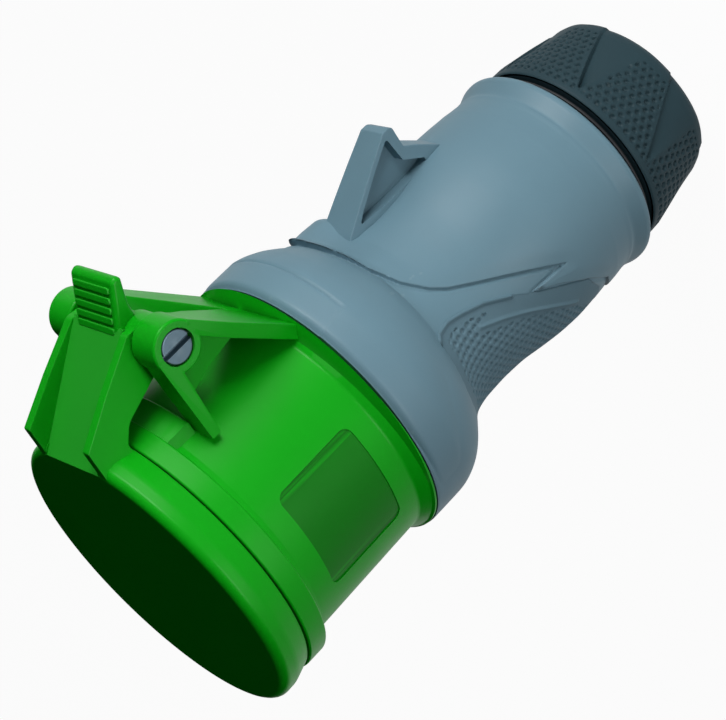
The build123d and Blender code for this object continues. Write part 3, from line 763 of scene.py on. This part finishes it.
def make_hook():
    """Hanging hook with its side pockets, rising from the grip."""
    bm = bmesh.new()
    slab(bm, rounded([(22.0, 108.0), (31.6, 97.2, 4.0), (36.2, 90.6, 6.0), (41.6, 82.6, 6.0),
                      (46.8, 74.6, 0.8), (46.9, 72.6, 0.8), (46.0, 71.3, 0.8), (39.8, 71.0, 0.8),
                      (37.1, 67.0, 1.2), (30.7, 59.2, 0.5), (28.0, 59.0), (22.0, 77.0), (20.0, 98.0)]),
         across_x(-8.5), 9.0, edge=0.45)
    hole = rounded([(31.6, 93.6, 0.5), (34.4, 90.4, 3.0), (40.4, 81.8), (45.0, 74.6, 0.6),
                    (36.9, 73.2, 0.8), (32.9, 67.3, 0.5), (31.7, 67.3, 0.4), (31.0, 73.0, 5.0),
                    (30.9, 84.0, 5.0)])
    # the far side leans outwards towards the foot
    lean_from = 72.0
    for v in bm.verts:
        if v.co.x < -4.0 and v.co.z > lean_from:
            v.co.x -= 0.12 * (v.co.z - lean_from)
    for x0, depth in ((-3.0, 5.0), (-14.0, 8.0)):
        pocket = bmesh.new()
        slab(pocket, hole, across_x(x0), depth, edge=0.3)
        bm = combine(bm, pocket, "DIFFERENCE")
    return finish_piece(bm, "hanging_hook", grey(), "housing")


def make_inlays():
    """Two dimpled soft inlays in the sides of the grip."""
    for side, name in ((1, "near"), (-1, "far")):
        angle = np.linspace(66.0, 165.5, 215)
        z = np.arange(109.6, 52.0, -0.255)
        a, zz = np.meshgrid(angle, z)
        edge = signed(a, zz, INLAY, INLAY_R)
        field = signed(a, zz, DIMPLE_FIELD, INLAY_R)
        r = grip_radius(zz, a) - 0.06 - 1.3 * soft(-edge - 0.1, 0.6)
        for k, line in enumerate(INLAY_RIDGES):
            r += (0.75 if k == 0 else 0.45) * np.exp(-(line_distance(a, zz, line, INLAY_R) / 0.6) ** 2)
        r += dimples(a, zz, field, INLAY_R, 2.25, 2.2, 0.62, 0.75, turn=0.12)
        points = on_cylinder(r, a * side, zz)
        faces = grid_faces(len(z), len(angle), False)
        if side < 0:
            faces = faces[:, ::-1]
        finish_piece((points, faces), "grip_inlay_" + name, inlay_grey(), "housing",
                     ["grip_pad_" + name], crease=60.0, even=False)


def make_nut():
    """Gland nut with leaf-shaped facets, dimpled fields and rounded end."""
    line = [(NUT_TOP, 29.8), (28.5, 30.1), (27.2, 30.2), (24.0, 30.1), (16.7, 28.9), (9.5, 27.7),
            (4.6, 27.0), (2.6, 26.35), (1.2, 25.2), (0.35, 23.7), (0.0, 22.0)]
    z = np.concatenate([[NUT_TOP, 28.5, 28.0], np.arange(27.6, 4.4, -0.28),
                        [3.9, 3.3, 2.6, 1.9, 1.2, 0.7, 0.35, 0.1, 0.0]])
    heights, radii = np.array([p[0] for p in line][::-1]), np.array([p[1] for p in line][::-1])
    columns = 560
    angle = np.arange(columns) * 360.0 / columns
    a, zz = np.meshgrid(angle, z)
    r = np.interp(zz, heights, radii)
    lobes = sizes().lobes
    period = 360.0 / lobes
    first = 34.0
    local = (a - first + period / 2) % period - period / 2
    # each leaf widens down from its tip; its left edge is sunk and its right edge lies level
    tip = 26.0
    drop = np.clip(tip - zz, 0, 30)
    left, right = -0.5 - 0.85 * drop, 0.8 + 0.48 * drop
    across = (local - left) / np.maximum(right - left, 0.2)
    depth = 2.0 - 1.3 * np.clip(drop / 22.0, 0, 1)
    leaf = (across >= 0) & (across <= 1) & (zz < tip)
    r -= np.where(leaf, depth * (1 - across) * np.clip(drop / 1.2, 0, 1), 0)
    inset = np.minimum(np.where(local < left, (left - local) * 0.5, 9),
                       np.where(local > right, (local - right) * 0.5, 9))
    inset = np.where(leaf, 0, inset)
    inset = np.minimum(inset, np.minimum(zz - 5.6, 27.0 - zz) + 0.9)
    count = round(2 * math.pi * NUT_R / NUT_PITCH[0])
    v = (zz + 0.3) / NUT_PITCH[1]
    u = (a / 360.0 * count + 0.5 * (np.floor(v) % 2)) % 1.0 - 0.5
    v = v % 1.0 - 0.5
    pit = np.hypot(u * NUT_PITCH[0], v * NUT_PITCH[1])
    r -= 0.8 * soft(0.66 - pit, 0.45) * soft(inset - 1.0, 0.5)
    points = [on_cylinder(r, a, zz)]
    inner = ((21.0, 0.0), (15.4, 0.0), (14.7, 0.3), (14.5, 0.8), (14.5, 4.0), (22.0, 4.0), (22.0, 10.0),
             (24.3, 10.0), (24.3, 28.4), (24.6, NUT_TOP), (29.2, NUT_TOP))
    for radius, height in inner:
        points.append(level_ring(radius, angle, height))
    return finish_piece((np.concatenate(points), grid_faces(len(z) + len(inner), columns, True)),
                        "gland_nut_moulding", nut_dark(), "nut", ["gland_nut", "nut_end"],
                        crease=50.0, even=False)


def make_gland():
    """Ring seal, rubber sleeve, clamp cage and thrust ring of the cable gland."""
    bm = bmesh.new()
    turned(bm, rounded([(23.7, 29.3), (28.0, 29.3, 0.2), (28.0, 30.0), (29.3, 30.3, 0.25),
                        (29.3, 30.9, 0.25), (28.2, 31.1), (28.2, 32.3), (23.7, 32.3)]))
    finish_piece(bm, "gland_ring_seal", rubber(), "housing", ["gland_seal"])
    bm = bmesh.new()
    turned(bm, rounded([(9.0, 13.1, 0.8), (18.2, 13.1, 0.4), (18.2, 35.9, 0.4), (12.0, 35.9, 0.8),
                        (9.0, 32.0, 1.5)]), steps=96)
    finish_piece(bm, "cable_sleeve_rubber", rubber(), "housing", ["cable_sleeve"])
    bm = bmesh.new()
    turned(bm, rounded([(15.2, 4.1, 0.3), (21.6, 4.1, 0.3), (21.6, 6.9, 0.4), (15.2, 6.9, 0.4)]), steps=96)
    finish_piece(bm, "thrust_ring", black(), "thrust", ["pressure_ring"])
    bm = bmesh.new()
    turned(bm, rounded([(15.2, 7.1, 0.3), (20.4, 7.1, 0.4), (21.6, 8.6, 0.4), (21.6, 12.9, 0.3),
                        (15.2, 12.9, 0.3)]), steps=96)
    for i in range(8):
        slit = bmesh.new()
        slab(slit, [(14.0, -0.6), (23.0, -0.6), (23.0, 0.6), (14.0, 0.6)],
             Matrix.Rotation(math.radians(22.5 + 45 * i), 4, "Z") @ Matrix.Translation((0, 0, 6.8)), 3.8,
             edge=0)
        bm = combine(bm, slit, "DIFFERENCE")
    finish_piece(bm, "clamp_cage_fingers", black(), "housing", ["clamp_cage"])


def at_pole(clock):
    """Place of a contact at a clock angle."""
    t = math.radians(clock)
    return Matrix.Translation((POLE_CIRCLE * math.sin(t), POLE_CIRCLE * math.cos(t), 0))


def make_contacts():
    """Contact carrier with its five mouths, and the five contact sleeves."""
    bm = bmesh.new()
    turned(bm, rounded([(0, 168.0), (29.6, 168.0, 0.9), (29.6, 131.9), (34.6, 131.9), (34.6, 127.0),
                        (0, 127.0)]))
    for _, clock, bore in POLES:
        hole = bmesh.new()
        wall = bore + 1.45
        turned(hole, [(0, 126.0), (wall, 126.0), (wall, 167.6), (wall + 0.5, 168.1), (wall + 0.5, 169.0),
                      (0, 169.0)], steps=64, axis=at_pole(clock))
        bm = combine(bm, hole, "DIFFERENCE")
    finish_piece(bm, "contact_carrier_face", black(), "housing",
                 ["contact_carrier", "carrier_plate"])
    for name, clock, bore in POLES:
        tube = bore + 1.15
        bm = bmesh.new()
        turned(bm, rounded([(bore, 167.9, 0.5), (tube, 167.9, 0.3), (tube, 161.6), (tube - 0.5, 161.6),
                            (tube - 0.5, 160.0), (tube, 160.0), (tube, 126.8), (tube + 1.2, 126.8, 0.3),
                            (tube + 1.2, 123.5, 0.3), (tube, 123.5), (tube, 118.0),
                            (tube + 0.6, 118.0, 0.2), (tube + 0.6, 104.0, 0.4), (tube - 1.6, 104.0, 0.3),
                            (tube - 1.6, 116.5), (0, 116.5), (0, 122.0), (bore, 122.0)]), steps=64,
               axis=at_pole(clock))
        finish_piece(bm, name + "_turned", brass(), "housing", [name])


def dress_small_nodes():
    """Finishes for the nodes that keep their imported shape."""
    given = {"lid_spring": steel, "terminal_block": black, "carrier_screws": steel, "sleeve_rings": steel,
             "terminal_screws": steel, "housing_seal": rubber}
    for name, maker in given.items():
        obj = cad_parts[name]
        obj.data.materials.clear()
        obj.data.materials.append(maker())


def make_stage():
    """Floor, lights, world and the camera of the photograph."""
    floor = bmesh.new()
    bmesh.ops.create_grid(floor, x_segments=2, y_segments=2, size=6000)
    mesh = bpy.data.meshes.new("floor")
    floor.to_mesh(mesh)
    floor.free()
    mesh.transform(Matrix.Scale(MM, 4))
    obj = bpy.data.objects.new("floor", mesh)
    show(obj)
    material = bpy.data.materials.new("pale floor")
    material.use_nodes = True
    tree = material.node_tree
    link = tree.links.new
    shader = tree.nodes["Principled BSDF"]
    shader.inputs["Base Color"].default_value = (0.86, 0.86, 0.87, 1)
    shader.inputs["Roughness"].default_value = 0.9
    shader.inputs["Specular IOR Level"].default_value = 0.1
    glow = node(tree, "ShaderNodeEmission", Strength=1.06)
    glow.inputs["Color"].default_value = (1, 1, 1, 1)
    both = node(tree, "ShaderNodeMixShader")
    path = node(tree, "ShaderNodeLightPath")
    straight = reckon(tree, "MAXIMUM", path.outputs["Is Camera Ray"], path.outputs["Is Transmission Ray"])
    mirrored = reckon(tree, "MULTIPLY", path.outputs["Is Glossy Ray"], 0.6)
    share = reckon(tree, "MULTIPLY", reckon(tree, "MAXIMUM", straight, mirrored), 0.9)
    link(share, both.inputs[0])
    link(shader.outputs[0], both.inputs[1])
    link(glow.outputs[0], both.inputs[2])
    link(both.outputs[0], tree.nodes["Material Output"].inputs["Surface"])
    mesh.materials.append(material)
    world = bpy.data.worlds.new("studio")
    bpy.context.scene.world = world
    world.use_nodes = True
    tree = world.node_tree
    link = tree.links.new
    background = tree.nodes["Background"]
    place = node(tree, "ShaderNodeTexCoord")
    lean = node(tree, "ShaderNodeVectorMath", operation="DOT_PRODUCT")
    lean.inputs[1].default_value = (0.35, 0.75, -0.55)
    link(place.outputs["Generated"], lean.inputs[0])
    sky = node(tree, "ShaderNodeMapRange")
    sky.inputs["From Min"].default_value, sky.inputs["From Max"].default_value = -0.45, 0.85
    sky.inputs["To Min"].default_value, sky.inputs["To Max"].default_value = 0.0, sizes().sky
    link(lean.outputs["Value"], sky.inputs["Value"])
    path = node(tree, "ShaderNodeLightPath")
    seen = reckon(tree, "MAXIMUM", path.outputs["Is Camera Ray"], path.outputs["Is Transmission Ray"])
    link(reckon(tree, "MAXIMUM", seen, sky.outputs["Result"]), background.inputs["Strength"])
    background.inputs["Color"].default_value = (1, 1, 1, 1)
    for name, place, target, watts, size in (
            ("key light", (0.22, 1.05, 0.08), (0, 0, 0.10), 13.0, 0.80),
            ("fill light", (1.10, -0.05, 0.12), (0, 0, 0.10), 4.6, 0.60)):
        data = bpy.data.lights.new(name, "AREA")
        data.shape, data.energy, data.size, data.size_y = "RECTANGLE", watts, size, 0.30
        lamp = bpy.data.objects.new(name, data)
        lamp.location = place
        lamp.rotation_euler = (Vector(target) - Vector(place)).to_track_quat("-Z", "Y").to_euler()
        show(lamp)
    data = bpy.data.cameras.new("camera")
    data.sensor_width, data.lens = 36.0, 114.74
    data.clip_start, data.clip_end = 0.02, 30.0
    camera = bpy.data.objects.new("camera", data)
    camera.matrix_world = Matrix.Translation(CAMERA_PLACE) @ Matrix(CAMERA_AXES)
    show(camera)
    bpy.context.scene.camera = camera
    bpy.context.scene.view_settings.view_transform = "Standard"


# Add-on
class ConnectorSizes(bpy.types.PropertyGroup):
    """Sizes and counts that a user may change."""
    facets: IntProperty(name="Facets", description="Faces round a turned moulding", default=192, min=48,
                        max=360)
    lobes: IntProperty(name="Nut lobes", description="Leaf-shaped facets round the gland nut", default=7,
                       min=4, max=12)
    sky: FloatProperty(name="Sky", description="Strength of the even studio light", default=0.40, min=0.0,
                       max=2.0)


class ConnectorColours(bpy.types.PropertyGroup):
    """Colours of the mouldings."""
    shell: FloatVectorProperty(name="Shell", description="Socket shell and lid",
                               default=(0.003, 0.33, 0.006), size=3, min=0.0, max=1.0, subtype="COLOR")
    housing: FloatVectorProperty(name="Housing", description="Grip housing", default=(0.125, 0.225, 0.28),
                                 size=3, min=0.0, max=1.0, subtype="COLOR")
    inlay: FloatVectorProperty(name="Inlay", description="Soft grip inlays", default=(0.108, 0.19, 0.235),
                               size=3, min=0.0, max=1.0, subtype="COLOR")
    nut: FloatVectorProperty(name="Nut", description="Gland nut", default=(0.022, 0.047, 0.058), size=3,
                             min=0.0, max=1.0, subtype="COLOR")


class Maker:
    """What the operators share: each runs its own maker, and an error in it stops the operator."""

    def execute(self, context):
        self.make()
        return {"FINISHED"}


class CONNECTOR_OT_socket_shell(Maker, bpy.types.Operator):
    """Makes the socket shell with its hinge bracket."""
    bl_idname = "connector.socket_shell"
    bl_label = "Socket shell"
    make = staticmethod(make_shell)


class CONNECTOR_OT_lid(Maker, bpy.types.Operator):
    """Makes the lid with its lever and thumb tab."""
    bl_idname = "connector.lid"
    bl_label = "Lid"
    make = staticmethod(make_lid)


class CONNECTOR_OT_lid_seal(Maker, bpy.types.Operator):
    """Makes the gasket in the lid."""
    bl_idname = "connector.lid_seal"
    bl_label = "Lid gasket"
    make = staticmethod(make_lid_seal)


class CONNECTOR_OT_hinge_screw(Maker, bpy.types.Operator):
    """Makes the slotted hinge screw."""
    bl_idname = "connector.hinge_screw"
    bl_label = "Hinge screw"
    make = staticmethod(make_hinge_screw)


class CONNECTOR_OT_housing(Maker, bpy.types.Operator):
    """Makes the grip housing."""
    bl_idname = "connector.housing"
    bl_label = "Grip housing"
    make = staticmethod(make_housing)


class CONNECTOR_OT_spigot(Maker, bpy.types.Operator):
    """Makes the thread under the gland nut."""
    bl_idname = "connector.spigot"
    bl_label = "Threaded spigot"
    make = staticmethod(make_spigot)


class CONNECTOR_OT_hook(Maker, bpy.types.Operator):
    """Makes the hanging hook."""
    bl_idname = "connector.hook"
    bl_label = "Hanging hook"
    make = staticmethod(make_hook)


class CONNECTOR_OT_inlays(Maker, bpy.types.Operator):
    """Makes the two dimpled inlays."""
    bl_idname = "connector.inlays"
    bl_label = "Grip inlays"
    make = staticmethod(make_inlays)


class CONNECTOR_OT_nut(Maker, bpy.types.Operator):
    """Makes the faceted gland nut."""
    bl_idname = "connector.nut"
    bl_label = "Gland nut"
    make = staticmethod(make_nut)


class CONNECTOR_OT_gland(Maker, bpy.types.Operator):
    """Makes the seals and rings in the gland."""
    bl_idname = "connector.gland"
    bl_label = "Gland parts"
    make = staticmethod(make_gland)


class CONNECTOR_OT_contacts(Maker, bpy.types.Operator):
    """Makes the contact carrier and its sleeves."""
    bl_idname = "connector.contacts"
    bl_label = "Contacts"
    make = staticmethod(make_contacts)


class CONNECTOR_OT_small_parts(Maker, bpy.types.Operator):
    """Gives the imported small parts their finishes."""
    bl_idname = "connector.small_parts"
    bl_label = "Small parts"
    make = staticmethod(dress_small_nodes)


class CONNECTOR_OT_stage(Maker, bpy.types.Operator):
    """Makes the floor, lights and camera."""
    bl_idname = "connector.stage"
    bl_label = "Stage"
    make = staticmethod(make_stage)


OPERATORS = (CONNECTOR_OT_socket_shell, CONNECTOR_OT_lid, CONNECTOR_OT_lid_seal, CONNECTOR_OT_hinge_screw,
             CONNECTOR_OT_housing, CONNECTOR_OT_spigot, CONNECTOR_OT_hook, CONNECTOR_OT_inlays,
             CONNECTOR_OT_nut, CONNECTOR_OT_gland, CONNECTOR_OT_contacts, CONNECTOR_OT_small_parts,
             CONNECTOR_OT_stage)


class CONNECTOR_PT_pieces(bpy.types.Panel):
    """Lists the pieces of the connector."""
    bl_idname = "CONNECTOR_PT_pieces"
    bl_label = "Connector"
    bl_space_type = "VIEW_3D"
    bl_region_type = "UI"
    bl_category = "Connector"

    def draw(self, context):
        column = self.layout.column()
        for item in OPERATORS:
            column.operator(item.bl_idname)
        for settings in (context.scene.connector_sizes, context.scene.connector_colours):
            for key in settings.bl_rna.properties.keys():
                if key not in ("rna_type", "name"):
                    column.prop(settings, key)


CLASSES = (ConnectorSizes, ConnectorColours, *OPERATORS, CONNECTOR_PT_pieces)


def register():
    """Adds the classes and their settings to Blender."""
    for item in CLASSES:
        bpy.utils.register_class(item)
    bpy.types.Scene.connector_sizes = PointerProperty(type=ConnectorSizes)
    bpy.types.Scene.connector_colours = PointerProperty(type=ConnectorColours)


def unregister():
    """Takes the classes and their settings out again."""
    del bpy.types.Scene.connector_sizes
    del bpy.types.Scene.connector_colours
    for item in reversed(CLASSES):
        bpy.utils.unregister_class(item)


def main():
    """Runs every operator in order."""
    register()
    for item in OPERATORS:
        done = getattr(bpy.ops.connector, item.bl_idname.split(".")[1])()
        if "FINISHED" not in done:
            raise RuntimeError(item.bl_label + " was not made")


if __name__ == "__main__":
    main()
